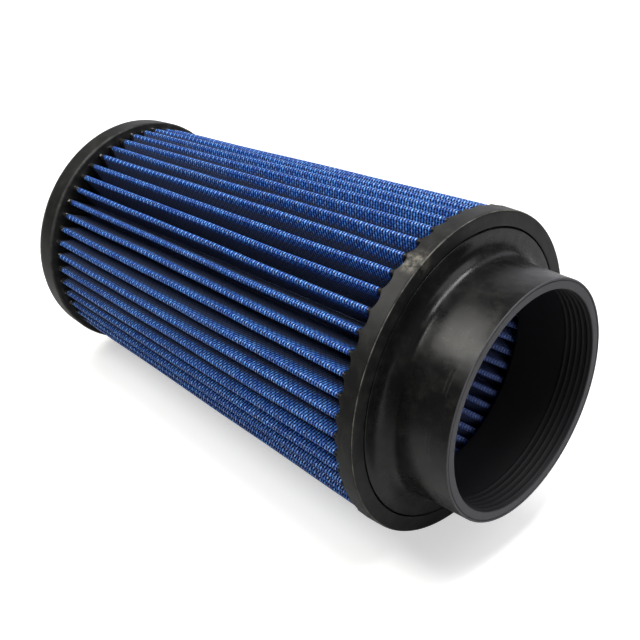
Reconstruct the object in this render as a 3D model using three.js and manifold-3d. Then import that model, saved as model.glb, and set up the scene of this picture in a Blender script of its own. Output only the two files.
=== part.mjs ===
// Clamp-on conical air filter: a pleated, washable gauze element between a moulded
// rubber neck flange and a closed end cap. Millimetres, +Z up.
// The axis lies along X. The neck's mouth is centred on the origin and faces +X,
// and the closed end is at the far -X end. "Depth" is the distance from the mouth.

import * as THREE from 'three';
import { mergeVertices } from 'three/addons/utils/BufferGeometryUtils.js';
import Module from 'manifold-3d';

// Driving dimensions
const boreRadius = 50.8;          // 4 in inside diameter
const neckRadius = 56;
const flangeDepth = 32.8;         // front face of the flange and of the ring cast round it
const jointRadius = 68.4;         // circle where the cast ring meets the flange
const ringRadius = 76;
const pleatStartDepth = 42.4;     // pleat side of the base ring
const pleatEndDepth = 258;        // pleat side of the end cap
const capRadius = 62.8;
const overallLength = 272.5;
const pleatCount = 50;
const ridgeRadius = 74.8;         // pleat tips where they leave the base ring
const ridgeRadiusAtCap = 60;
const pleatDepth = 18.9;
const firstRidge = 2.7;           // degrees from the top towards +Y
const screenThickness = 0.5;      // two crossing wires
const plyThickness = 0.18;
const plyCount = 4;
const layerGap = 0.1;
const embedDepth = 4.5;           // how far the pleat ends sit inside the castings
const castGap = 0.3;              // between a casting and what it holds

// Sizes that follow from them
const packThickness = 2 * screenThickness + plyCount * plyThickness + (plyCount + 1) * layerGap;
const pleatPitch = (2 * Math.PI) / pleatCount;
const taper = (1 - ridgeRadiusAtCap / ridgeRadius) / (pleatEndDepth - pleatStartDepth);
const packStart = pleatStartDepth - embedDepth;
const packEnd = pleatEndDepth + embedDepth + 0.5;
const roundSegments = 60;

const colours = {
  flangeRubber: 0x2b2b2c,
  castRubber: 0x303031,
  coatedWire: 0x2f62c4,
  gauze: 0x2c4f9a,
  clipMetal: 0xb4b8bc,
};

const wasm = await Module();
wasm.setup();

function material(color, roughness, metalness = 0) {
  return new THREE.MeshStandardMaterial({ color, roughness, metalness });
}

function part(name, geometry, finish) {
  const mesh = new THREE.Mesh(geometry, finish);
  mesh.name = name;
  return mesh;
}

// A profile of [radius, depth] points turned about the filter's axis.
function turned(profile) {
  const points = profile.map(([radius, depth]) => new THREE.Vector2(radius, depth));
  return new THREE.LatheGeometry(points, roundSegments).rotateZ(Math.PI / 2);
}

function arc(centre, radius, from, to, steps) {
  const points = [];
  for (let i = 0; i <= steps; i += 1) {
    const angle = THREE.MathUtils.degToRad(from + ((to - from) * i) / steps);
    points.push([centre[0] + radius * Math.cos(angle), centre[1] + radius * Math.sin(angle)]);
  }
  return points;
}

// Booleans

function toSolid(geometry) {
  const plain = geometry.clone();
  plain.deleteAttribute('normal');
  plain.deleteAttribute('uv');
  const merged = mergeVertices(plain, 1e-4);
  return new wasm.Manifold(new wasm.Mesh({
    numProp: 3,
    vertProperties: new Float32Array(merged.attributes.position.array),
    triVerts: new Uint32Array(merged.index.array),
  }));
}

function toGeometry(solid) {
  const mesh = solid.getMesh();
  const geometry = new THREE.BufferGeometry();
  geometry.setAttribute('position', new THREE.BufferAttribute(new Float32Array(mesh.vertProperties), 3));
  geometry.setIndex(new THREE.BufferAttribute(new Uint32Array(mesh.triVerts), 1));
  geometry.computeVertexNormals();
  return geometry;
}

function cut(body, tool) {
  return toGeometry(toSolid(body).subtract(toSolid(tool)));
}

// The pleats

// Middle line of the pleated pack at the base ring, as one closed loop:
// two points across each ridge, then two across each root.
function pleatLine() {
  const ridgeMiddle = ridgeRadius - packThickness / 2;
  const rootMiddle = ridgeMiddle - pleatDepth + packThickness;
  const ridgeWidth = 3;
  const rootWidth = 3.6;
  const points = [];
  for (let i = 0; i < pleatCount; i += 1) {
    const ridge = THREE.MathUtils.degToRad(firstRidge) + i * pleatPitch;
    const root = ridge + pleatPitch / 2;
    for (const side of [-0.5, 0.5]) points.push([ridgeMiddle, ridge + (side * ridgeWidth) / ridgeMiddle]);
    for (const side of [-0.5, 0.5]) points.push([rootMiddle, root + (side * rootWidth) / rootMiddle]);
  }
  return points.map(([radius, angle]) => new THREE.Vector2(radius * Math.cos(angle), radius * Math.sin(angle)));
}

// The same loop moved square to itself, with mitred corners; a positive distance is outwards.
function offsetLine(line, distance) {
  return line.map((point, i) => {
    const before = line[(i + line.length - 1) % line.length];
    const after = line[(i + 1) % line.length];
    const along = [point.clone().sub(before).normalize(), after.clone().sub(point).normalize()];
    const across = along.map((edge) => new THREE.Vector2(edge.y, -edge.x));
    const mitre = across[0].clone().add(across[1]).normalize();
    return point.clone().addScaledVector(mitre, distance / mitre.dot(across[0]));
  });
}

// A flat outline carried along the axis. The pack is a cone, so every section is the
// outline at the base ring made smaller in proportion.
function coned(shape, fromDepth, toDepth) {
  const geometry = new THREE.ExtrudeGeometry(shape, { depth: toDepth - fromDepth, bevelEnabled: false });
  const position = geometry.attributes.position;
  for (let i = 0; i < position.count; i += 1) {
    const depth = fromDepth + position.getZ(i);
    const size = 1 - taper * (depth - pleatStartDepth);
    position.setXYZ(i, position.getX(i) * size, position.getY(i) * size, depth);
  }
  return geometry.rotateY(-Math.PI / 2);
}

const middleLine = pleatLine();

function pleatedTube(outside, inside, fromDepth, toDepth) {
  const shape = new THREE.Shape(offsetLine(middleLine, outside));
  shape.holes.push(new THREE.Path(offsetLine(middleLine, inside)));
  return coned(shape, fromDepth, toDepth);
}

// The channel that a casting keeps round the pleat ends.
function pleatChannel(fromDepth, toDepth) {
  return pleatedTube(packThickness / 2 + castGap, -packThickness / 2 - castGap, fromDepth, toDepth);
}

// Pieces

function neckFlange() {
  const edge = 0.8;
  const filletRadius = 7;
  const tubeRadius = neckRadius + 0.2;
  const plateThickness = 3.5;
  const collarRadius = 54.2;
  const collarDepth = 41;
  const ribCount = 5;
  const ribPitch = 2.85;
  const ribHeight = 0.7;
  const firstRib = 2.5;
  const profile = [
    [boreRadius + edge, 0],
    [neckRadius - edge, 0],
    [neckRadius, edge],
    ...arc([tubeRadius + filletRadius, flangeDepth - filletRadius], filletRadius, 180, 90, 4),
    [jointRadius - castGap / 2, flangeDepth],
    [jointRadius - castGap / 2, flangeDepth + plateThickness],
    [collarRadius, flangeDepth + plateThickness],
    [collarRadius, collarDepth],
    [boreRadius + edge, collarDepth],
    [boreRadius, collarDepth - edge],
  ];
  for (let i = ribCount - 1; i >= 0; i -= 1) {
    const depth = firstRib + i * ribPitch;
    profile.push([boreRadius, depth + ribHeight], [boreRadius - ribHeight, depth], [boreRadius, depth - ribHeight]);
  }
  profile.push([boreRadius, edge], [boreRadius + edge, 0]);
  return part('neck_flange', turned(profile), material(colours.flangeRubber, 0.45));
}

function baseRing() {
  const edge = 1;
  const inner = 54.5;
  const webFront = flangeDepth + 3.8;
  const body = turned([
    [jointRadius + castGap / 2, flangeDepth],
    [ringRadius - edge, flangeDepth],
    [ringRadius, flangeDepth + edge],
    [ringRadius, pleatStartDepth],
    [inner, pleatStartDepth],
    [inner, webFront],
    [jointRadius + castGap / 2, webFront],
    [jointRadius + castGap / 2, flangeDepth],
  ]);
  const channel = pleatChannel(packStart - castGap, pleatStartDepth + 1);
  return part('base_ring', cut(body, channel), material(colours.castRubber, 0.5));
}

function endCap() {
  const frontEdge = 1.2;
  const rearEdge = 5;
  const rearRadius = capRadius - 1.2;
  const body = turned([
    [0, pleatEndDepth],
    [capRadius - frontEdge, pleatEndDepth],
    [capRadius, pleatEndDepth + frontEdge],
    ...arc([rearRadius - rearEdge, overallLength - rearEdge], rearEdge, 0, 90, 4),
    [0, overallLength],
  ]);
  const channel = pleatChannel(pleatEndDepth - 1, packEnd + castGap);
  return part('end_cap', cut(body, channel), material(colours.castRubber, 0.5));
}

// Screens and gauze plies, from the outside in.
function pleatPack() {
  const outside = packThickness / 2;
  const layers = [];
  let face = outside;
  const addLayer = (name, thickness, finish) => {
    layers.push(part(name, pleatedTube(face, face - thickness, packStart, packEnd), finish));
    face -= thickness + layerGap;
  };
  addLayer('outer_screen', screenThickness, material(colours.coatedWire, 0.4, 0.3));
  for (let i = 1; i <= plyCount; i += 1) addLayer(`gauze_ply_${i}`, plyThickness, material(colours.gauze, 0.9));
  addLayer('inner_screen', screenThickness, material(colours.coatedWire, 0.4, 0.3));
  return layers;
}

// A folded strip crimped over one root on the inside, where the two ends of the pack meet.
function seamClip() {
  const near = -packThickness / 2 - 0.15;
  const far = near - 0.5;
  const reach = 0.4;
  const endGap = 0.6;
  const root = 2 * pleatCount + 2;
  const section = (distance) => {
    const line = offsetLine(middleLine, distance);
    const [ridgeBefore, rootBefore, rootAfter, ridgeAfter] = line.slice(root - 1, root + 3);
    return [rootBefore.clone().lerp(ridgeBefore, reach), rootBefore, rootAfter, rootAfter.clone().lerp(ridgeAfter, reach)];
  };
  const shape = new THREE.Shape([...section(far), ...section(near).reverse()]);
  const geometry = coned(shape, pleatStartDepth + endGap, pleatEndDepth - endGap);
  return part('seam_clip', geometry, material(colours.clipMetal, 0.35, 0.9));
}

const airFilter = new THREE.Group();
airFilter.add(neckFlange(), baseRing(), ...pleatPack(), seamClip(), endCap());

export default airFilter;
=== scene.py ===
import bpy
import math
from mathutils import Matrix, Vector, noise


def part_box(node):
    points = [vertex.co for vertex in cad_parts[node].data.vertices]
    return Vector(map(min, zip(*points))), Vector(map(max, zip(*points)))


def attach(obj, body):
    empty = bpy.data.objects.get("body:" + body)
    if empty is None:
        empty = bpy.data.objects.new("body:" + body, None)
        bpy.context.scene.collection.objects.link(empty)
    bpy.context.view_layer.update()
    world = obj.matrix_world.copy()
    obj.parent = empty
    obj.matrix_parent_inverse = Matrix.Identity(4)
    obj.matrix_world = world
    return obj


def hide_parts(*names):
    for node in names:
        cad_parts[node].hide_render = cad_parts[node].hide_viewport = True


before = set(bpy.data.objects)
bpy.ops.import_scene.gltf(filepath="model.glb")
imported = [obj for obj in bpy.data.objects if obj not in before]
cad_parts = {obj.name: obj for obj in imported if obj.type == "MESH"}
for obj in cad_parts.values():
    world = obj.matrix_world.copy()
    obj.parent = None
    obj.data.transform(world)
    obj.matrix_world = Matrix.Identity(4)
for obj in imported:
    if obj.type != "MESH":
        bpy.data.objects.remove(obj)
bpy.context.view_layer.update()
print("frame loaded")

# The filter's axis lies along X. Places on it are given as a depth behind the mouth and a
# radius, both in millimetres, and an angle from the top towards +Y.
mm = 0.001
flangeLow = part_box("neck_flange")[0]
ringLow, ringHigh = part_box("base_ring")
capLow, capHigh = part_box("end_cap")
ringFront = -ringHigh.x / mm
ringBack = -ringLow.x / mm
capFront = -capHigh.x / mm
capBack = -capLow.x / mm
collarEnd = -flangeLow.x / mm
ringRadius = ringHigh.z / mm
capRadius = capHigh.z / mm


def place(radius, depth, angle):
    return Vector((-depth, radius * math.sin(angle), radius * math.cos(angle))) * mm


# Camera
camera = {
    "at": (0.2161, -0.3578, 0.2621),
    "looks": (-0.60367, 0.63843, -0.47748),
    "angle": 31.52,
    "sensor": 36,
    "clip": (0.01, 50),
}


def makeCamera():
    data = bpy.data.cameras.new("camera")
    data.sensor_width = camera["sensor"]
    data.lens = camera["sensor"] / 2 / math.tan(math.radians(camera["angle"] / 2))
    data.clip_start, data.clip_end = camera["clip"]
    item = bpy.data.objects.new("camera", data)
    item.location = camera["at"]
    item.rotation_euler = Vector(camera["looks"]).to_track_quat("-Z", "Y").to_euler()
    bpy.context.collection.objects.link(item)
    bpy.context.scene.camera = item


makeCamera()
print("camera set")


# Mesh helpers
def clamped(value):
    return max(0, min(1, value))


def eased(value):
    return value * value * (3 - 2 * value)


def meshPiece(name, points, faces):
    mesh = bpy.data.meshes.new(name)
    mesh.from_pydata(points, [], faces)
    mesh.validate()
    mesh.update()
    for face in mesh.polygons:
        face.use_smooth = True
    item = bpy.data.objects.new(name, mesh)
    bpy.context.collection.objects.link(item)
    return item


def finishPiece(item, material, slot, *nodes):
    item.data.materials.append(material)
    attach(item, "root")
    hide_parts(*nodes)


# A closed outline of (radius, depth, rounding) corners, each rounded with its own radius.
def roundedOutline(corners, steps=6):
    outline = []
    for i, (radius, depth, rounding) in enumerate(corners):
        here = Vector((radius, depth))
        if rounding == 0:
            outline.append((radius, depth))
            continue
        before = (Vector(corners[i - 1][:2]) - here).normalized()
        after = (Vector(corners[(i + 1) % len(corners)][:2]) - here).normalized()
        half = math.acos(max(-1, min(1, before.dot(after)))) / 2
        reach = rounding / math.tan(half)
        middle = here + (before + after).normalized() * (rounding / math.sin(half))
        start = here + before * reach - middle
        end = here + after * reach - middle
        first = math.atan2(start.y, start.x)
        sweep = math.atan2(end.y, end.x) - first
        sweep = (sweep + math.pi) % (2 * math.pi) - math.pi
        for k in range(steps + 1):
            turn = first + sweep * k / steps
            outline.append((middle.x + rounding * math.cos(turn), middle.y + rounding * math.sin(turn)))
    return outline


# Adds points to the long stretches of an outline, so that a shift can bend them. A stretch
# that runs along the axis needs none.
def denser(outline, longest):
    result = []
    for i, here in enumerate(outline):
        after = outline[(i + 1) % len(outline)]
        result.append(here)
        if here[0] == 0 and after[0] == 0:
            continue
        pieces = math.ceil(math.dist(here, after) / longest)
        for k in range(1, pieces):
            share = k / pieces
            result.append((here[0] + (after[0] - here[0]) * share, here[1] + (after[1] - here[1]) * share))
    return result


# Turns a closed outline about the axis. A point on the axis becomes one vertex. A shift
# moves each point of the turned form to another radius and depth.
def turnedPiece(name, outline, segments, shift=None):
    points = []
    rings = []
    for radius, depth in outline:
        if radius == 0:
            rings.append([len(points)] * segments)
            points.append(place(0, depth, 0))
            continue
        rings.append(list(range(len(points), len(points) + segments)))
        for k in range(segments):
            angle = 2 * math.pi * k / segments
            r, d = shift(radius, depth, angle) if shift else (radius, depth)
            points.append(place(r, d, angle))
    faces = []
    for i, here in enumerate(rings):
        after = rings[(i + 1) % len(rings)]
        for k in range(segments):
            n = (k + 1) % segments
            corners = [here[k], here[n], after[n], after[k]]
            corners = [c for j, c in enumerate(corners) if c != corners[j - 1]]
            if len(corners) > 2:
                faces.append(corners)
    return meshPiece(name, points, faces)


# The pleated pack. The sizes are those of its middle line where it leaves the base ring;
# every section along the filter is the same outline made smaller in proportion.
pack = {
    "pleats": 50,
    "firstRidge": 2.7,
    "ridgeMiddle": 74.2,
    "rootMiddle": 56.5,
    "ridgeWidth": 1.3,
    "rootWidth": 1.4,
    "ridgeRounding": 0.66,
    "rootRounding": 0.68,
    "capScale": 60 / 74.8,
    "embedFront": 4.5,
    "embedBack": 5.0,
    "rootShare": 0.25,  # how much a root follows each of the two ridges beside it
    "tipFrom": 0.8,  # share of the pleat's height where its ridge starts to keep its width
    "tipOver": 0.14,
}
pitch = 2 * math.pi / pack["pleats"]
frontEnd = ringBack - pack["embedFront"]
backEnd = capFront + pack["embedBack"]


def sectionScale(depth):
    return 1 - (1 - pack["capScale"]) * (depth - ringBack) / (capFront - ringBack)


def ridgeAngle(i):
    return math.radians(pack["firstRidge"]) + i * pitch


# Unevenness of the pleats: the noise's step from pleat to pleat and per millimetre of depth,
# its seed, its amount in millimetres, and how soon it sets in. It is nothing where a casting
# holds the pleats.
uneven = {
    "slowLean": (3.71, 0.011, 2.5, 0.825, 4),
    "quickLean": (5.13, 0.035, 8.1, 0.275, 4),
    "swell": (2.9, 0.017, 5.7, 0.44, 5),
}


def unevenness(kind, i, depth):
    perPleat, perDepth, seed, amount, onset = uneven[kind]
    along = clamped((depth - ringBack) / (capFront - ringBack))
    i %= pack["pleats"]
    waver = noise.noise(Vector((i * perPleat, depth * perDepth, seed)))
    return amount * waver * min(1, onset * along, onset * (1 - along))


# How far a ridge stands out of line, in millimetres
def ridgeDrift(i, depth):
    return unevenness("slowLean", i, depth) + unevenness("quickLean", i, depth)


# One pleat from root to root, as [(x, y), arc length from the ridge] with the ridge on +Y,
# moved square to itself by offset, and its whole length. ridgeSteps, flankSteps and rootSteps
# set how fine it is.
def pleatPath(offset, ridgeSteps, flankSteps, rootSteps):
    halfPitch = pitch / 2
    def around(radius, angle):
        return Vector((radius * math.sin(angle), radius * math.cos(angle)))
    rootTurn = pack["rootWidth"] / 2 / pack["rootMiddle"]
    ridgeTurn = pack["ridgeWidth"] / 2 / pack["ridgeMiddle"]
    corners = [
        around(pack["rootMiddle"] * math.cos(rootTurn), -halfPitch),
        around(pack["rootMiddle"], rootTurn - halfPitch),
        around(pack["ridgeMiddle"], -ridgeTurn),
        around(pack["ridgeMiddle"], ridgeTurn),
        around(pack["rootMiddle"], halfPitch - rootTurn),
        around(pack["rootMiddle"] * math.cos(rootTurn), halfPitch),
    ]
    def bend(i, rounding, steps):
        before = (corners[i] - corners[i - 1]).normalized()
        after = (corners[i + 1] - corners[i]).normalized()
        turn = math.atan2(before.x * after.y - before.y * after.x, before.dot(after))
        start = corners[i] - before * (rounding * math.tan(abs(turn) / 2))
        left = Vector((-before.y, before.x))
        side = 1 if turn > 0 else -1
        middle = start + left * rounding * side
        arm = -left * side * (rounding - side * offset)
        made = []
        for k in range(steps + 1):
            cosine, sine = math.cos(turn * k / steps), math.sin(turn * k / steps)
            spun = Vector((arm.x * cosine - arm.y * sine, arm.x * sine + arm.y * cosine))
            made.append(middle + spun)
        return made
    rootUp = bend(1, pack["rootRounding"], rootSteps)
    ridgeUp = bend(2, pack["ridgeRounding"], ridgeSteps // 2)
    ridgeDown = bend(3, pack["ridgeRounding"], ridgeSteps // 2)
    rootDown = bend(4, pack["rootRounding"], rootSteps)
    first = corners[0] + corners[0].normalized() * offset
    final = corners[-1] + corners[-1].normalized() * offset
    def flank(a, b):
        return [a.lerp(b, k / flankSteps) for k in range(1, flankSteps)]
    flankUp = flank(rootUp[-1], ridgeUp[0])
    flankDown = flank(ridgeDown[-1], rootDown[0])
    points = [first, *rootUp, *flankUp, *ridgeUp, *ridgeDown, *flankDown, *rootDown, final]
    lengths = [0]
    for a, b in zip(points, points[1:]):
        lengths.append(lengths[-1] + (b - a).length)
    whole = lengths[-1]
    return [(point, length - whole / 2) for point, length in zip(points, lengths)], whole


def pleatStations(rows):
    inner = [ringBack + (capFront - ringBack) * k / rows for k in range(rows + 1)]
    return [frontEnd, *inner, backEnd]


# Places a pleat's point: turned to its own ridge, leaning and swelling with it.
def onPleat(point, i, depth):
    radius = point.length
    angle = math.atan2(point.x, point.y)
    height = clamped((radius - pack["rootMiddle"]) / (pack["ridgeMiddle"] - pack["rootMiddle"]))
    here = ridgeDrift(i, depth)
    beside = ridgeDrift(i + (1 if angle > 0 else -1), depth)
    root = pack["rootShare"] * (here + beside)
    ease = eased(height)
    drift = root + (here - root) * ease
    scale = sectionScale(depth)
    tip = eased(clamped((height - pack["tipFrom"]) / pack["tipOver"]))
    angle *= 1 + (1 / scale - 1) * tip
    radiusHere = (radius + unevenness("swell", i, depth) * ease) * scale
    return place(radiusHere, depth, ridgeAngle(i) + angle + drift / radius)


# A pleated tube. With thickness it is a closed shell, without it one open sheet. Its two UV
# maps are in millimetres: "weave" runs across and along the material, and "place" holds the
# distance along the material from the nearest ridge line, and the depth. With fromRoot that
# distance is taken from the nearest root line instead, and multiplied by fromRoot.
def pleatedPiece(name, offset, thickness, rows, fine, fromRoot=0):
    middle, whole = pleatPath(offset, *fine)
    sides = [middle]
    if thickness:
        sides = [pleatPath(offset + side * thickness, *fine)[0] for side in (0.5, -0.5)]
    depths = pleatStations(rows)
    perPleat = len(middle) - 1
    around = perPleat * pack["pleats"]
    layer = len(depths) * around
    slant = math.hypot(1, pack["ridgeMiddle"] * (1 - pack["capScale"]) / (capFront - ringBack))
    points = []
    for side in sides:
        for depth in depths:
            for i in range(pack["pleats"]):
                for k in range(perPleat):
                    points.append(onPleat(side[k][0], i, depth))
    faces = []
    weave = []
    where = []
    def addFace(i, corners, flip):
        if flip:
            corners.reverse()
        faces.append([vertex for vertex, row, k in corners])
        for vertex, row, k in corners:
            arc = middle[k][1]
            crest = fromRoot * (whole / 2 - abs(arc)) if fromRoot else arc
            across = i * whole + arc * sectionScale(depths[row])
            weave.append((across, (depths[row] - ringBack) * slant))
            where.append((crest, depths[row]))
    for side in range(len(sides)):
        for row in range(len(depths) - 1):
            for column in range(around):
                i, k = divmod(column, perPleat)
                a = side * layer + row * around + column
                b = side * layer + row * around + (column + 1) % around
                corners = [(a, row, k), (b, row, k + 1)]
                corners += [(b + around, row + 1, k + 1), (a + around, row + 1, k)]
                addFace(i, corners, side == 1)
    if thickness:  # the edges at both ends
        for row in (0, len(depths) - 1):
            for column in range(around):
                i, k = divmod(column, perPleat)
                a = row * around + column
                b = row * around + (column + 1) % around
                corners = [(a + layer, row, k), (b + layer, row, k + 1), (b, row, k + 1), (a, row, k)]
                addFace(i, corners, row > 0)
    item = meshPiece(name, points, faces)
    for title, values in (("weave", weave), ("place", where)):
        layerMap = item.data.uv_layers.new(name=title)
        layerMap.data.foreach_set("uv", [n for pair in values for n in pair])
    return item


# Shader helpers
def newMaterial(name):
    material = bpy.data.materials.new(name)
    material.use_nodes = True
    tree = material.node_tree
    tree.nodes.clear()
    output = tree.nodes.new("ShaderNodeOutputMaterial")
    shader = tree.nodes.new("ShaderNodeBsdfPrincipled")
    tree.links.new(shader.outputs["BSDF"], output.inputs["Surface"])
    return material, tree, shader


def wire(tree, source, target):
    if hasattr(source, "links"):
        tree.links.new(source, target)
    else:
        target.default_value = source


def calc(tree, operation, *values, clamp=False):
    node = tree.nodes.new("ShaderNodeMath")
    node.operation = operation
    node.use_clamp = clamp
    for i, value in enumerate(values):
        wire(tree, value, node.inputs[i])
    return node.outputs[0]


def ramp(tree, value, fromLow, fromHigh, toLow=0.0, toHigh=1.0, smooth=True):
    node = tree.nodes.new("ShaderNodeMapRange")
    node.interpolation_type = "SMOOTHSTEP" if smooth else "LINEAR"
    wire(tree, value, node.inputs["Value"])
    limits = {"From Min": fromLow, "From Max": fromHigh, "To Min": toLow, "To Max": toHigh}
    for title, limit in limits.items():
        wire(tree, limit, node.inputs[title])
    return node.outputs["Result"]


def mixColour(tree, factor, low, high):
    node = tree.nodes.new("ShaderNodeMix")
    node.data_type = "RGBA"
    wire(tree, factor, node.inputs[0])
    wire(tree, low, node.inputs[6])
    wire(tree, high, node.inputs[7])
    return node.outputs[2]


def speckle(tree, vector, scale, detail=3.0, roughness=0.55, distortion=0.0):
    node = tree.nodes.new("ShaderNodeTexNoise")
    wire(tree, vector, node.inputs["Vector"])
    wire(tree, scale, node.inputs["Scale"])
    node.inputs["Detail"].default_value = detail
    node.inputs["Roughness"].default_value = roughness
    node.inputs["Distortion"].default_value = distortion
    return node.outputs["Fac"]


def stretched(tree, vector, scale):
    node = tree.nodes.new("ShaderNodeMapping")
    wire(tree, vector, node.inputs["Vector"])
    node.inputs["Scale"].default_value = scale
    return node.outputs["Vector"]


def objectPlace(tree):
    return tree.nodes.new("ShaderNodeTexCoord").outputs["Object"]


def uvPlace(tree, title):
    node = tree.nodes.new("ShaderNodeUVMap")
    node.uv_map = title
    return node.outputs["UV"]


def bump(tree, height, distance):
    node = tree.nodes.new("ShaderNodeBump")
    node.inputs["Distance"].default_value = distance
    wire(tree, height, node.inputs["Height"])
    return node.outputs["Normal"]


def parts(tree, source):
    node = tree.nodes.new("ShaderNodeSeparateXYZ")
    wire(tree, source, node.inputs[0])
    return node.outputs


# A node group, what it takes and what it gives. A tuple is the default of a colour, None
# stands for a vector, and an output called Colour is a colour.
def newGroup(name, inputs, outputs):
    group = bpy.data.node_groups.new(name, "ShaderNodeTree")
    for title, value in inputs.items():
        kind = "Color" if isinstance(value, tuple) else "Vector" if value is None else "Float"
        socket = group.interface.new_socket(name=title, in_out="INPUT", socket_type="NodeSocket" + kind)
        if value is not None:
            socket.default_value = value
    for title in outputs:
        kind = "Color" if title == "Colour" else "Float"
        group.interface.new_socket(name=title, in_out="OUTPUT", socket_type="NodeSocket" + kind)
    return group, group.nodes.new("NodeGroupInput").outputs, group.nodes.new("NodeGroupOutput").inputs


def useGroup(tree, group, values):
    node = tree.nodes.new("ShaderNodeGroup")
    node.node_tree = group
    for title, value in values.items():
        wire(tree, value, node.inputs[title])
    return node.outputs


# Plain weave: round strands that cross over and under each other. Place is in the same
# units as Pitch; Across and Along are half widths in pitches. A strand's height swings about
# its lift by Swing. Cover is 1 on a strand, Height runs from 0 in a hole to 1 on a crown, and
# Crown picks out the tallest tops. Chance differs from one short run of strands to the next,
# and Every other adds a difference between neighbouring rows.
weaveShape = {
    "edge": 3.0,  # steepness of a strand's edge
    "round": 0.4,  # share of the height that a strand's roundness gives
    "acrossLift": 0.4,
    "crownHighlight": (0.62, 0.88),
    "run": 3.0,  # strands that share one chance
}


def makePlainWeave():
    group, take, give = newGroup(
        "plainWeave",
        {"Place": None, "Pitch": 1.0, "Across": 0.25, "Along": 0.2, "Along lift": 0.3, "Swing": 0.14,
         "Every other": 0.0},
        ("Cover", "Height", "Crown", "Chance"),
    )
    at = parts(group, take["Place"])
    x = calc(group, "DIVIDE", at[0], take["Pitch"])
    y = calc(group, "DIVIDE", at[1], take["Pitch"])
    i = calc(group, "FLOOR", calc(group, "ADD", x, 0.5))
    j = calc(group, "FLOOR", calc(group, "ADD", y, 0.5))
    def strand(position, cell, alongPosition, half, lift, swing):
        across = calc(group, "DIVIDE", calc(group, "SUBTRACT", position, cell), half)
        roundness = calc(group, "SUBTRACT", 1.0, calc(group, "MULTIPLY", across, across), clamp=True)
        turns = calc(group, "MULTIPLY", calc(group, "ADD", alongPosition, cell), math.pi)
        middle = calc(group, "MULTIPLY_ADD", calc(group, "COSINE", turns), swing, lift)
        inside = calc(group, "MULTIPLY", roundness, weaveShape["edge"], clamp=True)
        height = calc(group, "MULTIPLY_ADD", calc(group, "SQRT", roundness), weaveShape["round"], middle)
        return inside, calc(group, "MULTIPLY", height, inside)
    insideAlong, heightAlong = strand(x, i, y, take["Along"], take["Along lift"], take["Swing"])
    swingBack = calc(group, "MULTIPLY", take["Swing"], -1.0)
    insideAcross, heightAcross = strand(y, j, x, take["Across"], weaveShape["acrossLift"], swingBack)
    tallest = calc(group, "MAXIMUM", heightAlong, heightAcross)
    wire(group, calc(group, "MAXIMUM", insideAlong, insideAcross), give["Cover"])
    wire(group, tallest, give["Height"])
    wire(group, ramp(group, tallest, *weaveShape["crownHighlight"]), give["Crown"])
    cell = group.nodes.new("ShaderNodeCombineXYZ")
    wire(group, calc(group, "FLOOR", calc(group, "DIVIDE", i, weaveShape["run"])), cell.inputs[0])
    wire(group, j, cell.inputs[1])
    toss = group.nodes.new("ShaderNodeTexWhiteNoise")
    toss.noise_dimensions = "2D"
    wire(group, cell.outputs[0], toss.inputs["Vector"])
    turnAbout = calc(group, "SUBTRACT", calc(group, "FLOORED_MODULO", j, 2.0), 0.5)
    chance = calc(group, "MULTIPLY_ADD", turnAbout, take["Every other"], toss.outputs["Value"])
    wire(group, chance, give["Chance"])
    return group


# Casting resin that has climbed the mesh at both ends of the pack, and painted light on the mesh.
# Soaked is 1 where the resin fills the weave. The second output is a painted highlight, the odd
# bright speck on a soaked ridge. The third is painted shade: 0 on the lit ridges and 1 down
# between the pleats. Place is the "place" map, and lengths are in millimetres.
wickAndPaintedLight = {
    "ragged": (420.0, 2.0),
    "slow": (60.0, 1.0),
    "raggedShare": 2.2,
    "slowShare": 4.0,
    "frontShare": 0.35,  # of that unevenness at the base ring
    "frontBlur": 0.35,
    "backBlur": 0.5,
    # The next entry is the share of the unshaded width where the painted shade sets in
    "shadeFrom": 0.55,  # share of the bare width where the depth sets in
    # The next three entries place the painted highlight specks on soaked ridges
    "speck": (700.0, 1.0),
    "speckLevel": (0.64, 0.7),
    "speckReach": (0.16, 0.08),
}


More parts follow.
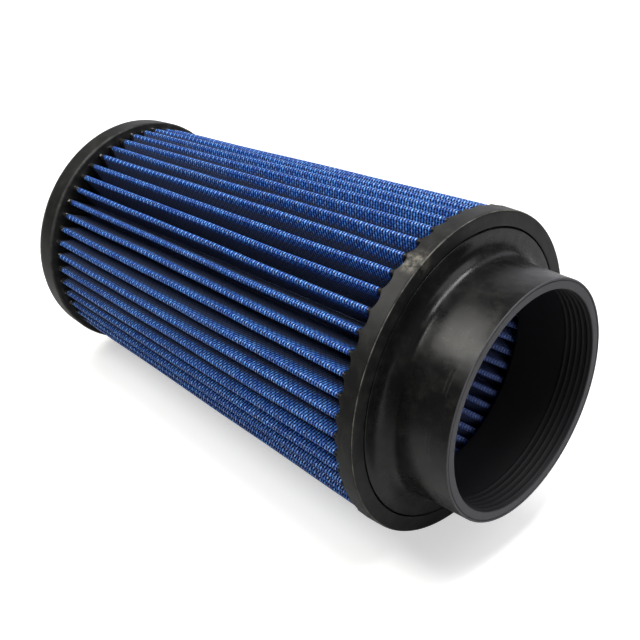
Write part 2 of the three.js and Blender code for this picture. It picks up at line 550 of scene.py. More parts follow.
def makeResinWickAndPaintedLight():
    group, take, give = newGroup(
        "resinWickAndPaintedLight",
        {"Place": None, "Front": 42.4, "Back": 258.0, "Front reach": 1.9, "Ridge reach": 4.6,
         "Root reach": 7.0, "Half width": 19.0, "Unshaded at front": 8.0, "Unshaded at back": 2.5},
        ("Soaked", "Painted glint", "Depth"),
    )
    at = parts(group, take["Place"])
    wobble = objectPlace(group)
    ragged = calc(group, "SUBTRACT", speckle(group, wobble, *wickAndPaintedLight["ragged"]), 0.5)
    slow = calc(group, "SUBTRACT", speckle(group, wobble, *wickAndPaintedLight["slow"]), 0.5)
    drift = calc(group, "MULTIPLY", slow, wickAndPaintedLight["slowShare"])
    drift = calc(group, "MULTIPLY_ADD", ragged, wickAndPaintedLight["raggedShare"], drift)
    fromRidge = calc(group, "ABSOLUTE", at[0])
    away = calc(group, "DIVIDE", fromRidge, take["Half width"], clamp=True)
    fromFront = calc(group, "SUBTRACT", at[1], take["Front"])
    fromBack = calc(group, "SUBTRACT", take["Back"], at[1])
    frontEdge = calc(group, "ADD", take["Front reach"], calc(group, "MULTIPLY", drift, wickAndPaintedLight["frontShare"]))
    frontGap = calc(group, "SUBTRACT", fromFront, frontEdge)
    front = ramp(group, frontGap, wickAndPaintedLight["frontBlur"], -wickAndPaintedLight["frontBlur"])
    spread = calc(group, "SUBTRACT", take["Root reach"], take["Ridge reach"])
    backEdge = calc(group, "ADD", calc(group, "MULTIPLY_ADD", away, spread, take["Ridge reach"]), drift)
    backGap = calc(group, "SUBTRACT", fromBack, backEdge)
    back = ramp(group, backGap, wickAndPaintedLight["backBlur"], -wickAndPaintedLight["backBlur"])
    wire(group, calc(group, "MAXIMUM", front, back), give["Soaked"])
    length = calc(group, "SUBTRACT", take["Back"], take["Front"])
    along = calc(group, "DIVIDE", fromFront, length, clamp=True)
    fade = calc(group, "SUBTRACT", take["Unshaded at back"], take["Unshaded at front"])
    bare = calc(group, "MULTIPLY_ADD", along, fade, take["Unshaded at front"])
    # Painted shade: dark from part-way down each flank into the valley between the pleats
    shadeFrom = calc(group, "MULTIPLY", bare, wickAndPaintedLight["shadeFrom"])
    wire(group, ramp(group, fromRidge, shadeFrom, bare), give["Depth"])
    # Painted highlight: odd bright specks on the soaked ridges
    speck = ramp(group, speckle(group, wobble, *wickAndPaintedLight["speck"]), *wickAndPaintedLight["speckLevel"])
    onRidge = ramp(group, away, *wickAndPaintedLight["speckReach"])
    glint = calc(group, "MULTIPLY", calc(group, "MULTIPLY", speck, onRidge), back)
    wire(group, glint, give["Painted glint"])
    return group


# Moulded or cast rubber: fine matt grain, cloudy gloss, faint dust in the hollows, a few long
# scuffs and a slow ripple of the surface. Everything it gives varies over the surface.
# Noises are scale, detail, roughness and distortion; levels are where a noise starts to
# show and where it shows in full.
rubberNoise = {
    "grainDetail": 2.0,
    "cloud": (38.0, 4.0, 0.6),
    "patch": (140.0, 3.0, 0.65),
    "swell": (75.0, 2.0),
    "streakShape": (260.0, 40.0, 40.0),
    "streak": (1.0, 2.0, 0.5, 0.8),
    "streakLevel": (0.66, 0.74),
    "specks": (900.0, 1.0),
    "speckLevel": (0.72, 0.78),
    "dustLevel": (0.4, 0.75),
    "speckShare": 0.6,
    "dryness": 0.2,  # extra roughness where there is dust or a scuff
    "patchHeight": 0.5,
    "scuffHeight": 0.8,
}


def makeRubberSkin():
    group, take, give = newGroup(
        "rubberSkin",
        {"Dark": (0.01, 0.01, 0.01, 1), "Dusty": (0.05, 0.05, 0.05, 1), "Grain": 1500.0, "Gloss": 0.4,
         "Gloss change": 0.1, "Dust": 0.2, "Scuffs": 0.2, "Ripple": 1.0},
        ("Colour", "Roughness", "Height"),
    )
    at = objectPlace(group)
    fine = speckle(group, at, take["Grain"], rubberNoise["grainDetail"])
    cloud = speckle(group, at, *rubberNoise["cloud"])
    patch = speckle(group, at, *rubberNoise["patch"])
    streak = speckle(group, stretched(group, at, rubberNoise["streakShape"]), *rubberNoise["streak"])
    scuff = calc(group, "MULTIPLY", ramp(group, streak, *rubberNoise["streakLevel"]), take["Scuffs"])
    specks = ramp(group, speckle(group, at, *rubberNoise["specks"]), *rubberNoise["speckLevel"])
    dust = calc(group, "MULTIPLY", ramp(group, patch, *rubberNoise["dustLevel"]), take["Dust"])
    speckDust = calc(group, "MULTIPLY", take["Dust"], rubberNoise["speckShare"])
    dust = calc(group, "MULTIPLY_ADD", specks, speckDust, dust)
    tint = calc(group, "ADD", dust, scuff, clamp=True)
    wire(group, mixColour(group, tint, take["Dark"], take["Dusty"]), give["Colour"])
    change = calc(group, "MULTIPLY", calc(group, "SUBTRACT", cloud, 0.5), take["Gloss change"])
    rough = calc(group, "ADD", take["Gloss"], calc(group, "MULTIPLY", change, 2.0))
    rough = calc(group, "MULTIPLY_ADD", tint, rubberNoise["dryness"], rough, clamp=True)
    wire(group, rough, give["Roughness"])
    height = calc(group, "MULTIPLY_ADD", patch, rubberNoise["patchHeight"], fine)
    height = calc(group, "MULTIPLY_ADD", speckle(group, at, *rubberNoise["swell"]), take["Ripple"], height)
    height = calc(group, "MULTIPLY_ADD", scuff, rubberNoise["scuffHeight"], height)
    wire(group, height, give["Height"])
    return group


# A band round the filter's axis, between two radii and two depths, all in millimetres.
bandBreaks = {"noise": (130.0, 4.0, 0.7), "level": (0.35, 0.65)}


def makeTurnedBand():
    group, take, give = newGroup(
        "turnedBand",
        {"Inner radius": 0.0, "Outer radius": 100.0, "Front": 0.0, "Back": 300.0, "Blur": 0.3, "Patchy": 0.0},
        ("Mask",),
    )
    at = objectPlace(group)
    x, y, z = parts(group, at)
    square = calc(group, "MULTIPLY_ADD", z, z, calc(group, "MULTIPLY", y, y))
    radius = calc(group, "DIVIDE", calc(group, "SQRT", square), mm)
    depth = calc(group, "DIVIDE", x, -mm)
    def above(value, limit):
        gap = calc(group, "DIVIDE", calc(group, "SUBTRACT", value, limit), take["Blur"])
        return calc(group, "MULTIPLY_ADD", gap, 0.5, 0.5, clamp=True)
    mask = above(radius, take["Inner radius"])
    mask = calc(group, "MULTIPLY", mask, above(take["Outer radius"], radius))
    mask = calc(group, "MULTIPLY", mask, above(depth, take["Front"]))
    mask = calc(group, "MULTIPLY", mask, above(take["Back"], depth))
    patches = ramp(group, speckle(group, at, *bandBreaks["noise"]), *bandBreaks["level"])
    missing = calc(group, "MULTIPLY", calc(group, "SUBTRACT", 1.0, patches), take["Patchy"])
    mask = calc(group, "MULTIPLY", mask, calc(group, "SUBTRACT", 1.0, missing))
    wire(group, mask, give["Mask"])
    return group


plainWeave = makePlainWeave()
resinWickAndPaintedLight = makeResinWickAndPaintedLight()
rubberSkin = makeRubberSkin()
turnedBand = makeTurnedBand()

# Bands are (inner radius, outer radius, front, back, blur, patchiness), then how strongly
# they show, their colour and their roughness.
rubberFinish = {
    "flangeRubber": {
        "dark": (0.006, 0.006, 0.0062, 1), "dusty": (0.04, 0.039, 0.035, 1), "dust": 0.22, "scuffs": 0.2,
        "gloss": 0.27, "change": 0.3, "specular": 0.26, "grain": 1700.0, "ripple": 24.0, "depth": 0.000012,
        "bands": {
            # The lip's face: a matt cut face, its colour painted lighter to stand in for light on it
            "lipFacePaintedLight": ((51.0, 56.4, -0.5, 0.35, 0.2, 0.15), 0.95, (0.076, 0.076, 0.083, 1), 0.6),
            # The bore: painted a little lighter to stand in for light inside it
            "bore": ((0.0, 51.4, 0.3, 60.0, 0.4, 0.0), 0.9, (0.01, 0.01, 0.0115, 1), 0.7),
        },
    },
    "castPolyurethane": {
        "dark": (0.009, 0.009, 0.0092, 1), "dusty": (0.06, 0.058, 0.052, 1), "dust": 0.2, "scuffs": 0.3,
        "gloss": 0.43, "change": 0.16, "specular": 0.2, "grain": 1300.0, "ripple": 8.0, "depth": 0.00002,
        "bands": {
            # A painted highlight along the ring's rounded front edge, broken into patches
            "ringEdgeHighlight": (
                (75.6, 77.0, ringFront - 0.5, ringFront + 0.45, 0.12, 0.85),
                0.7, (0.27, 0.26, 0.225, 1), 0.45,
            ),
            "capEdge": (
                (57.0, 64.0, capBack - 4.2, capBack - 2.4, 0.8, 0.9),
                0.5, (0.08, 0.08, 0.078, 1), 0.5,
            ),
            "capFront": (
                (62.0, 64.0, capFront - 0.5, capFront + 1.4, 0.5, 0.9),
                0.5, (0.09, 0.09, 0.088, 1), 0.5,
            ),
        },
    },
}


def makeRubber(name):
    finish = rubberFinish[name]
    material, tree, shader = newMaterial(name)
    skin = useGroup(tree, rubberSkin, {
        "Dark": finish["dark"], "Dusty": finish["dusty"], "Grain": finish["grain"],
        "Gloss": finish["gloss"], "Gloss change": finish["change"], "Dust": finish["dust"],
        "Scuffs": finish["scuffs"], "Ripple": finish["ripple"],
    })
    paint = skin["Colour"]
    rough = skin["Roughness"]
    for band, amount, tint, roughness in finish["bands"].values():
        titles = ("Inner radius", "Outer radius", "Front", "Back", "Blur", "Patchy")
        mask = useGroup(tree, turnedBand, dict(zip(titles, band)))["Mask"]
        mask = calc(tree, "MULTIPLY", mask, amount)
        paint = mixColour(tree, mask, paint, tint)
        rough = calc(tree, "MULTIPLY_ADD", mask, calc(tree, "SUBTRACT", roughness, rough), rough)
    wire(tree, paint, shader.inputs["Base Color"])
    wire(tree, rough, shader.inputs["Roughness"])
    wire(tree, bump(tree, skin["Height"], finish["depth"]), shader.inputs["Normal"])
    shader.inputs["Specular IOR Level"].default_value = finish["specular"]
    return material, tree, shader


# A lighter, warm grey patch on the side of the base ring, broken up by noise
warmRingPatch = {
    "at": (-37.0, -36.0, 67.0),
    "reach": 8.5,
    "core": 1.5,
    "noise": (260.0, 4.0, 0.7),
    "level": (0.35, 0.68),
    "tint": (0.26, 0.24, 0.2, 1),
    "amount": 0.65,
}


def addWarmRingPatch(tree, shader):
    at = objectPlace(tree)
    gap = tree.nodes.new("ShaderNodeVectorMath")
    gap.operation = "DISTANCE"
    wire(tree, at, gap.inputs[0])
    gap.inputs[1].default_value = Vector(warmRingPatch["at"]) * mm
    near = ramp(tree, gap.outputs["Value"], warmRingPatch["reach"] * mm, warmRingPatch["core"] * mm)
    broken = ramp(tree, speckle(tree, at, *warmRingPatch["noise"]), *warmRingPatch["level"])
    mask = calc(tree, "MULTIPLY", calc(tree, "MULTIPLY", near, broken), warmRingPatch["amount"])
    paint = shader.inputs["Base Color"].links[0].from_socket
    wire(tree, mixColour(tree, mask, paint, warmRingPatch["tint"]), shader.inputs["Base Color"])


# The woven wire. Pairs of alongLift, swing and everyOther are at the base ring and at the cap.
meshFinish = {
    "pitch": 1.52,
    "across": 0.29,
    "along": 0.19,
    "alongLift": (0.25, 0.14),
    "swing": (0.12, 0.2),
    "everyOther": (0.0, 0.8),
    "wire": (0.006, 0.034, 0.27, 1),
    # the crown colour is a painted highlight on the tops of the wires
    "crownHighlight": (0.15, 0.44, 1.0, 1),
    # The next two colours are painted shade between the pleats, the lighter one on the crowns of the wires
    # there
    "paintedShade": (0.042, 0.047, 0.07, 1),
    "paintedShadeWire": (0.052, 0.07, 0.17, 1),
    "gauze": (0.006, 0.008, 0.018, 1),
    "gauzeLight": (0.008, 0.014, 0.045, 1),
    "resin": (0.006, 0.006, 0.006, 1),
    # the colour of the painted highlight specks on soaked ridges
    "glint": (0.25, 0.26, 0.28, 1),
    "patch": (55.0, 3.0),
    "patchLevel": (0.3, 0.7),
    "patchShare": 0.3,
    "threads": (4.0, 2.0),
    "threadLevel": (0.35, 0.7),
    "chanceShare": 0.9,
    "sureShare": 0.45,
    "paintedShadeShare": 0.9,
    "roughness": (0.95, 0.45),  # in the holes and on the wire
    "resinRoughness": 0.5,
    "resinFill": -0.8,
    "depth": 0.00045,
    "specular": 0.2,
    "coatRoughness": 0.22,
}
# The inner screen's wire: the same coated wire, its colours painted lighter to stand in for light inside the
# filter
insidePaintedLightFinish = {
    **meshFinish,
    "wire": (0.14, 0.19, 0.5, 1),
    "crownHighlight": (0.24, 0.42, 1.0, 1),
    "gauze": (0.1, 0.12, 0.2, 1),
    "gauzeLight": (0.12, 0.14, 0.26, 1),
    "paintedShadeWire": (0.12, 0.15, 0.34, 1),
    "paintedShade": (0.08, 0.095, 0.19, 1),
}


def makeWireMesh(name, finish):
    material, tree, shader = newMaterial(name)
    weaveMap = uvPlace(tree, "weave")
    placeMap = uvPlace(tree, "place")
    depth = parts(tree, placeMap)[1]
    def along(title):
        return ramp(tree, depth, ringBack, capFront, *finish[title], smooth=False)
    weave = useGroup(tree, plainWeave, {
        "Place": weaveMap, "Pitch": finish["pitch"], "Across": finish["across"], "Along": finish["along"],
        "Along lift": along("alongLift"), "Swing": along("swing"), "Every other": along("everyOther"),
    })
    resin = useGroup(tree, resinWickAndPaintedLight, {"Place": placeMap, "Front": ringBack, "Back": capFront})
    soaked = resin["Soaked"]
    patch = ramp(tree, speckle(tree, objectPlace(tree), *finish["patch"]), *finish["patchLevel"])
    threads = ramp(tree, speckle(tree, weaveMap, *finish["threads"]), *finish["threadLevel"])
    gauze = mixColour(tree, threads, finish["gauze"], finish["gauzeLight"])
    # Painted highlight: the crowns of the wires are painted lighter, more on some runs of strands than on
    # others and, towards the cap, on every other row
    chance = calc(tree, "MULTIPLY_ADD", weave["Chance"], finish["chanceShare"], finish["sureShare"])
    glint = calc(tree, "MULTIPLY", weave["Crown"], chance, clamp=True)
    coatAndHighlight = mixColour(tree, glint, finish["wire"], finish["crownHighlight"])
    coatAndHighlight = mixColour(tree, calc(tree, "MULTIPLY", patch, finish["patchShare"]), coatAndHighlight, finish["wire"])
    painted = mixColour(tree, weave["Cover"], gauze, coatAndHighlight)
    # Painted shade down between the pleats, a little lighter on the crowns of the wires
    paintedShade = mixColour(tree, weave["Crown"], finish["paintedShade"], finish["paintedShadeWire"])
    paintedShadeAmount = calc(tree, "MULTIPLY", resin["Depth"], finish["paintedShadeShare"])
    painted = mixColour(tree, paintedShadeAmount, painted, paintedShade)
    # Black resin where it soaks the mesh, with painted highlight specks on its ridges
    black = mixColour(tree, resin["Painted glint"], finish["resin"], finish["glint"])
    wire(tree, mixColour(tree, soaked, painted, black), shader.inputs["Base Color"])
    rough = ramp(tree, weave["Cover"], 0.0, 1.0, *finish["roughness"])
    smoother = calc(tree, "SUBTRACT", finish["resinRoughness"], rough)
    wire(tree, calc(tree, "MULTIPLY_ADD", soaked, smoother, rough), shader.inputs["Roughness"])
    bare = calc(tree, "MULTIPLY_ADD", soaked, finish["resinFill"], 1.0)
    wire(tree, calc(tree, "MULTIPLY", glint, bare), shader.inputs["Coat Weight"])
    height = calc(tree, "MULTIPLY", weave["Height"], bare)
    wire(tree, bump(tree, height, finish["depth"]), shader.inputs["Normal"])
    shader.inputs["Specular IOR Level"].default_value = finish["specular"]
    shader.inputs["Coat Roughness"].default_value = finish["coatRoughness"]
    return material


gauzeFinish = {
    "pitch": 0.62,
    "strand": 0.32,
    "lift": 0.42,
    "yarn": (0.012, 0.035, 0.13, 1),
    "hole": (0.002, 0.004, 0.012, 1),
    "fuzz": (9.0, 3.0, 0.7),
    "fuzzHeight": 0.3,
    "oil": (45.0, 3.0),
    "oilLevel": (0.35, 0.7),
    "roughness": (0.85, 0.55),  # dry and oiled
    "depth": 0.00012,
    "sheen": 0.2,
}


def makeGauze():
    material, tree, shader = newMaterial("oiledGauze")
    weaveMap = uvPlace(tree, "weave")
    weave = useGroup(tree, plainWeave, {
        "Place": weaveMap, "Pitch": gauzeFinish["pitch"], "Across": gauzeFinish["strand"],
        "Along": gauzeFinish["strand"], "Along lift": gauzeFinish["lift"],
    })
    fuzz = speckle(tree, weaveMap, *gauzeFinish["fuzz"])
    oil = ramp(tree, speckle(tree, objectPlace(tree), *gauzeFinish["oil"]), *gauzeFinish["oilLevel"])
    yarn = mixColour(tree, calc(tree, "MULTIPLY", fuzz, oil), gauzeFinish["yarn"], gauzeFinish["hole"])
    wire(tree, mixColour(tree, weave["Cover"], gauzeFinish["hole"], yarn), shader.inputs["Base Color"])
    wire(tree, ramp(tree, oil, 0.0, 1.0, *gauzeFinish["roughness"]), shader.inputs["Roughness"])
    height = calc(tree, "MULTIPLY_ADD", fuzz, gauzeFinish["fuzzHeight"], weave["Height"])
    wire(tree, bump(tree, height, gauzeFinish["depth"]), shader.inputs["Normal"])
    shader.inputs["Sheen Weight"].default_value = gauzeFinish["sheen"]
    return material


clipFinish = {
    "grainShape": (30.0, 2400.0, 2400.0),
    "grain": (1.0, 3.0),
    "stain": (70.0, 3.0),
    "stainLevel": (0.4, 0.75),
    "bright": (0.56, 0.57, 0.59, 1),
    "dull": (0.38, 0.38, 0.38, 1),
    "grainRoughness": 0.25,
    "roughness": 0.22,
    "depth": 0.00001,
}


def makeClipMetal():
    material, tree, shader = newMaterial("clipMetal")
    at = objectPlace(tree)
    grain = speckle(tree, stretched(tree, at, clipFinish["grainShape"]), *clipFinish["grain"])
    stain = ramp(tree, speckle(tree, at, *clipFinish["stain"]), *clipFinish["stainLevel"])
    wire(tree, mixColour(tree, stain, clipFinish["bright"], clipFinish["dull"]), shader.inputs["Base Color"])
    rough = calc(tree, "MULTIPLY_ADD", grain, clipFinish["grainRoughness"], clipFinish["roughness"])
    wire(tree, rough, shader.inputs["Roughness"])
    wire(tree, bump(tree, grain, clipFinish["depth"]), shader.inputs["Normal"])
    shader.inputs["Metallic"].default_value = 1.0
    return material


flangeRubber = makeRubber("flangeRubber")[0]
castPolyurethane, castTree, castShader = makeRubber("castPolyurethane")
addWarmRingPatch(castTree, castShader)
coatedWire = makeWireMesh("coatedWire", meshFinish)
coatedWireInsidePaintedLight = makeWireMesh("coatedWireInsidePaintedLight", insidePaintedLightFinish)
oiledGauze = makeGauze()
clipMetal = makeClipMetal()
print("materials made")


# Neck flange. The lip's corners are how far each lies beyond the outside radius, its depth and
# its rounding; they draw the fine groove round the lip's face.
neck = {
    "bore": 50.8,
    "radius": 56.0,
    "boreCorner": (0.1, 0.1, 0.7),
    "lip": ((-1.4, 0.1, 0.1), (-1.25, 0.45, 0.08), (-0.95, 0.45, 0.08), (-0.8, 0.0, 0.1), (0.0, 0.0, 0.3)),
    "draft": 0.2,
    "filletRadius": 7.0,
    "plateEdge": 68.0,
    "plateRounding": 0.4,
    "plateThickness": 3.5,
    "collarRadius": 54.2,
    "collarRounding": (0.4, 0.8),
    "ribs": 5,
    "firstRib": 2.5,
    "ribPitch": 2.85,
    "ribHeight": 0.5,
    "ribHalf": 0.85,
    "ribRounding": (0.2, 0.22),
    "longest": 4.0,
    "segments": 288,
}


def makeNeckFlange():
    bore, radius = neck["bore"], neck["radius"]
    beyond, depth, rounding = neck["boreCorner"]
    plate = ringFront
    plateBack = plate + neck["plateThickness"]
    outside, inside = neck["collarRounding"]
    corners = [(bore + beyond, depth, rounding)]
    corners += [(radius + beyond, depth, rounding) for beyond, depth, rounding in neck["lip"]]
    corners += [
        (radius + neck["draft"], plate, neck["filletRadius"]),
        (neck["plateEdge"], plate, neck["plateRounding"]),
        (neck["plateEdge"], plateBack, 0),
        (neck["collarRadius"], plateBack, 0),
        (neck["collarRadius"], collarEnd, outside),
        (bore, collarEnd, inside),
    ]
    half = neck["ribHalf"]
    foot, crest = neck["ribRounding"]
    for i in reversed(range(neck["ribs"])):
        depth = neck["firstRib"] + i * neck["ribPitch"]
        corners += [(bore, depth + half, foot), (bore - neck["ribHeight"], depth, crest)]
        corners.append((bore, depth - half, foot))
    item = turnedPiece("neckFlange", denser(roundedOutline(corners), neck["longest"]), neck["segments"])
    finishPiece(item, flangeRubber, "flange_rubber", "neck_flange")


# Base ring. Its pleat side is scalloped: it drops in each valley and climbs each ridge.
ring = {
    "jointRadius": 68.65,
    "jointRounding": 0.4,
    "frontEdge": 1.0,
    "backEdge": 0.3,
    "inner": 54.5,
    "innerKept": 0.5,
    "web": 3.8,
    "bend": 3.4,  # how far in front of the pleat side the scallops begin
    "bendPower": 1.5,
    "valleyDrop": 1.7,
    "valleyPower": 2.2,
    "valleyReach": 9,
    "climb": 0.7,
    "climbPower": 6,
    "climbReach": 1.2,
    "steps": 5,
    "longest": 1.6,
    "perPleat": 18,
}


# Nearness to a ridge line: 1 on it, 0 half-way between two.
def ridgeNearness(angle):
    turn = (angle - math.radians(pack["firstRidge"])) / pitch
    return abs((turn % 1) * 2 - 1)


def makeBaseRing():
    joint, inner = ring["jointRadius"], ring["inner"]
    webFront = ringFront + ring["web"]
    corners = [
        (joint, ringFront, ring["jointRounding"]),
        (ringRadius, ringFront, ring["frontEdge"]),
        (ringRadius, ringBack, ring["backEdge"]),
        (inner, ringBack, 0),
        (inner, webFront, 0),
        (joint, webFront, 0),
    ]
    bendFrom = ringBack - ring["bend"]
    def scallop(radius, depth, angle):
        if depth < bendFrom or radius < inner + ring["innerKept"]:
            return radius, depth
        near = ridgeNearness(angle)
        inward = max(0, ringRadius - radius)
        drop = ring["valleyDrop"] * (1 - near ** ring["valleyPower"])
        drop *= math.exp(-inward / ring["valleyReach"])
        climb = ring["climb"] * near ** ring["climbPower"] * min(1, inward / ring["climbReach"])
        share = (depth - bendFrom) / ring["bend"]
        return radius, depth + (climb - drop) * share ** ring["bendPower"]
    outline = denser(roundedOutline(corners, ring["steps"]), ring["longest"])
    item = turnedPiece("baseRing", outline, pack["pleats"] * ring["perPleat"], scallop)
    finishPiece(item, castPolyurethane, "cast_polyurethane", "base_ring")


# End cap. Its rings are moulded grooves in the closed end: radius, half width and depth. Its
# pleat side climbs the ends of the pleats.
cap = {
    "frontEdge": 1.2,
    "rearEdge": 5.0,
    "draft": 1.2,
    "rings": ((46.0, 1.2, 0.5), (30.0, 0.9, 0.4), (14.0, 0.9, 0.4)),
    "ringRounding": (0.3, 0.4),
    "climb": 1.6,
    "valleyShare": 0.35,
    "beyondTips": 1.5,
    "tipReach": 3,
    "climbFrom": 40,
    "climbOver": 4,
    "edgeKept": 0.2,
    "flatSlack": 0.1,
    "steps": 6,
    "longest": 1.8,
    "perPleat": 12,
}


def makeEndCap():
    rear = capRadius - cap["draft"]
    edge, bottom = cap["ringRounding"]
    corners = [(0, capFront, 0), (capRadius, capFront, cap["frontEdge"]), (rear, capBack, cap["rearEdge"])]
    for radius, half, depth in cap["rings"]:
        corners += [(radius + half, capBack, edge), (radius, capBack - depth, bottom)]
        corners.append((radius - half, capBack, edge))
    corners.append((0, capBack, 0))
    tip = pack["ridgeMiddle"] * pack["capScale"] + cap["beyondTips"]
    rim = capRadius - cap["frontEdge"] - cap["edgeKept"]
    def climb(radius, depth, angle):
        if depth > capFront + cap["flatSlack"] or radius > rim:  # only the flat of the pleat side
            return radius, depth
        inside = clamped((tip - radius) / cap["tipReach"])
        inside *= clamped((radius - cap["climbFrom"]) / cap["climbOver"])
        share = cap["valleyShare"] + (1 - cap["valleyShare"]) * ridgeNearness(angle)
        return radius, depth - cap["climb"] * inside * share
    outline = denser(roundedOutline(corners, cap["steps"]), cap["longest"])
    item = turnedPiece("endCap", outline, pack["pleats"] * cap["perPleat"], climb)
    finishPiece(item, castPolyurethane, "cast_polyurethane", "end_cap")


makeNeckFlange()
makeBaseRing()
makeEndCap()
print("castings made")


# Screens and plies: how far each layer's middle lies outside the pack's middle line.
layers = {
    "outerScreen": ("outer_screen", 0.42),
    "gauzePly1": ("gauze_ply_1", 0.2),
    "gauzePly2": ("gauze_ply_2", 0.07),
    "gauzePly3": ("gauze_ply_3", -0.07),
    "gauzePly4": ("gauze_ply_4", -0.2),
    "innerScreen": ("inner_screen", -0.42),
}
# Steps are round a ridge, up a flank and round a root.
# insideCrest: how many times faster the painted shade sets in away from the inner screen's roots
screen = {"thickness": 0.3, "rows": 28, "steps": (8, 4, 3), "insideCrest": 2.4}
ply = {"rows": 20, "steps": (6, 2, 2)}


def makePack():
    for name, (node, offset) in layers.items():
        if name.endswith("Screen"):
            material, fromRoot = coatedWire, 0
            if name == "innerScreen":
                # the inner screen takes the painted-lighter wire, with its painted shade measured from the
                # roots
                material, fromRoot = coatedWireInsidePaintedLight, screen["insideCrest"]
            item = pleatedPiece(name, offset, screen["thickness"], screen["rows"], screen["steps"], fromRoot)
            finishPiece(item, material, "coated_wire", node)
            continue
        item = pleatedPiece(name, offset, 0, ply["rows"], ply["steps"])
        finishPiece(item, oiledGauze, "cotton_gauze", node)
        whole = pleatPath(offset, *ply["steps"])[1]


makePack()
print("pleated pack made")


# Seam clip: a folded strip over the inner side of one root
clip = {
    "root": 25,
    "clearance": 0.15,
    "thickness": 0.5,
    "endGap": 0.6,
    "rows": 24,
    "steps": (8, 5, 4),
    "pathPoints": 8,  # from the middle of the root up the flank, as many as the strip covers
}


def makeSeamClip():
    near = layers["innerScreen"][1] - screen["thickness"] / 2 - clip["clearance"]
    far = near - clip["thickness"]
    section = []
    for offset in (near, far):
        path = pleatPath(offset, *clip["steps"])[0][:clip["pathPoints"]]
        half = [(point.length, pitch / 2 + math.atan2(point.x, point.y)) for point, length in path]
        side = [*reversed(half), *[(radius, -angle) for radius, angle in half[1:]]]
        section += side if offset == near else reversed(side)
    start, stop = ringBack + clip["endGap"], capFront - clip["endGap"]
    depths = [start + (stop - start) * k / clip["rows"] for k in range(clip["rows"] + 1)]
    i = clip["root"]
    middle = ridgeAngle(i) - pitch / 2
    points = []
    for depth in depths:
        drift = pack["rootShare"] * (ridgeDrift(i, depth) + ridgeDrift(i - 1, depth))
        for radius, angle in section:
            points.append(place(radius * sectionScale(depth), depth, middle + angle + drift / radius))
    count = len(section)
    faces = []
    for row in range(0, clip["rows"] * count, count):
        for k in range(count):
            n = (k + 1) % count
            faces.append([row + k, row + n, row + count + n, row + count + k])
    faces.append(list(reversed(range(count))))
    faces.append([clip["rows"] * count + k for k in range(count)])
    finishPiece(meshPiece("seamClip", points, faces), clipMetal, "clip_metal", "seam_clip")


makeSeamClip()
print("seam clip made")


# Floor: the filter lies on its ring and its cap, so the floor runs along both. The camera sees
# floorColour and the glow. The filter sees bounce, and farBounce further off to the left.
studio = {
    "floor": 4.0,
    "gap": 0.0008,
    "floorColour": (0.7, 0.7, 0.7, 1),
    "floorRoughness": 0.8,
    "floorSpecular": 0.1,
    "bounce": (0.56, 0.56, 0.56, 1),
    "farBounce": (0.12, 0.12, 0.12, 1),
    "farFrom": (-0.08, -0.3),
    "glow": (0.5, 0.95),  # near the filter and far from it
    "glowFrom": (0.5, 1.8),
    "glowColour": (1, 1, 1, 1),
    "world": (1.0, 1.0, 1.0, 1),
    "ambient": 0.08,
    "backdrop": 0.95,
}


def makeFloor():
    ringFoot = Vector((ringLow.x, -ringRadius * mm))
    capFoot = Vector((capHigh.x, -capRadius * mm))
    slope = (capFoot.y - ringFoot.y) / (capFoot.x - ringFoot.x)
    size = studio["floor"]
    points = []
    for x, y in ((-size, -size), (size, -size), (size, size), (-size, size)):
        points.append((x, y, ringFoot.y + slope * (x - ringFoot.x) - studio["gap"]))
    item = meshPiece("floor", points, [[0, 1, 2, 3]])
    material, tree, shader = newMaterial("floorPaper")
    shader.inputs["Roughness"].default_value = studio["floorRoughness"]
    shader.inputs["Specular IOR Level"].default_value = studio["floorSpecular"]
    at = objectPlace(tree)
    leftwards = ramp(tree, parts(tree, at)[1], *studio["farFrom"])
    bounce = mixColour(tree, leftwards, studio["bounce"], studio["farBounce"])
    seen = tree.nodes.new("ShaderNodeLightPath").outputs["Is Camera Ray"]
    shade = mixColour(tree, seen, bounce, studio["floorColour"])
    wire(tree, shade, shader.inputs["Base Color"])
    shader.inputs["Emission Color"].default_value = studio["glowColour"]
    away = tree.nodes.new("ShaderNodeVectorMath")
    away.operation = "LENGTH"
    wire(tree, at, away.inputs[0])
    glow = ramp(tree, away.outputs["Value"], *studio["glowFrom"], *studio["glow"])
    wire(tree, calc(tree, "MULTIPLY", seen, glow), shader.inputs["Emission Strength"])
    item.data.materials.append(material)


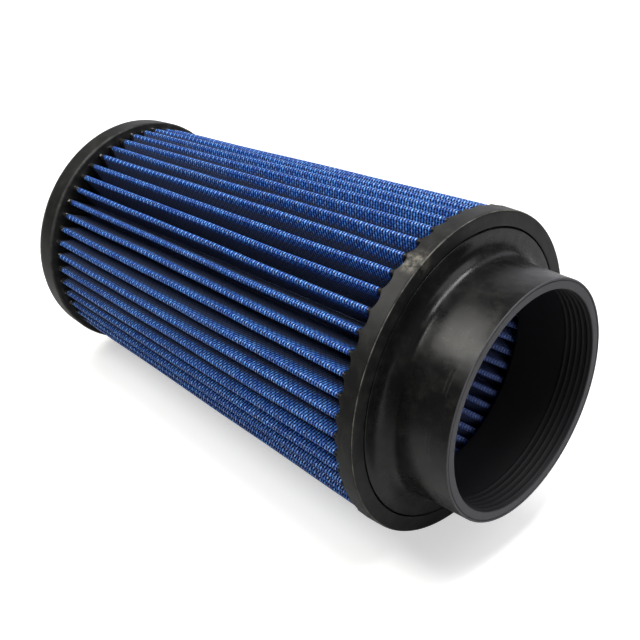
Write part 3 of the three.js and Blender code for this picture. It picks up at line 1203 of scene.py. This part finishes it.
def makeWorld():
    world = bpy.data.worlds.new("studio")
    bpy.context.scene.world = world
    world.use_nodes = True
    tree = world.node_tree
    tree.nodes.clear()
    output = tree.nodes.new("ShaderNodeOutputWorld")
    back = tree.nodes.new("ShaderNodeBackground")
    back.inputs["Color"].default_value = studio["world"]
    seen = tree.nodes.new("ShaderNodeLightPath").outputs["Is Camera Ray"]
    strength = ramp(tree, seen, 0.0, 1.0, studio["ambient"], studio["backdrop"], smooth=False)
    wire(tree, strength, back.inputs["Strength"])
    wire(tree, back.outputs[0], output.inputs["Surface"])


# Each light: the direction it stands in, its distance, the way its long side runs, its long
# and short sides, power and colour.
lights = {
    "overhead": ((-0.5, -0.33, 0.8), 1.1, (0.05, -0.95, -0.3), 0.8, 0.4, 8.1, (1.0, 0.98, 0.92)),
    "gleam": ((-0.2, -0.56, 0.8), 1.1, (0, 0.83, 0.56), 0.4, 0.06, 2.8, (1.0, 1.0, 0.96)),
    "topStrip": ((0.2, 0.12, 0.97), 1.1, (-0.2, 0.95, -0.1), 1.0, 0.25, 10.5, (1.0, 1.0, 1.0)),
    "frontPanel": ((0.6, 0.36, 0.7), 1.2, (0, 1, 0), 0.8, 0.7, 3.6, (0.97, 0.97, 1.0)),
    "backPanel": ((-0.42, 0.82, 0.4), 1.3, (1, 0, 0), 1.7, 1.2, 5.2, (0.93, 0.94, 1.0)),
    "mouthFill": ((0.8, -0.48, 0.36), 1.2, (0, 0, 1), 0.4, 0.4, 3.5, (1.0, 1.0, 1.0)),
}
softOnly = ("mouthFill",)  # lights that give no highlight
aimAt = Vector((-0.12, 0.0, 0.0))


def makeLights():
    for name, (direction, distance, longWay, width, height, power, tint) in lights.items():
        data = bpy.data.lights.new(name, "AREA")
        data.shape = "RECTANGLE"
        data.size = width
        data.size_y = height
        data.energy = power
        data.color = tint
        item = bpy.data.objects.new(name, data)
        away = Vector(direction).normalized()
        upright = away.cross(Vector(longWay)).normalized()
        side = upright.cross(away)
        turn = Matrix((side, upright, away)).transposed()
        item.matrix_world = Matrix.Translation(aimAt + away * distance) @ turn.to_4x4()
        item.visible_glossy = name not in softOnly
        bpy.context.collection.objects.link(item)


makeFloor()
makeWorld()
makeLights()
bpy.context.scene.view_settings.view_transform = "Standard"
print("studio made")
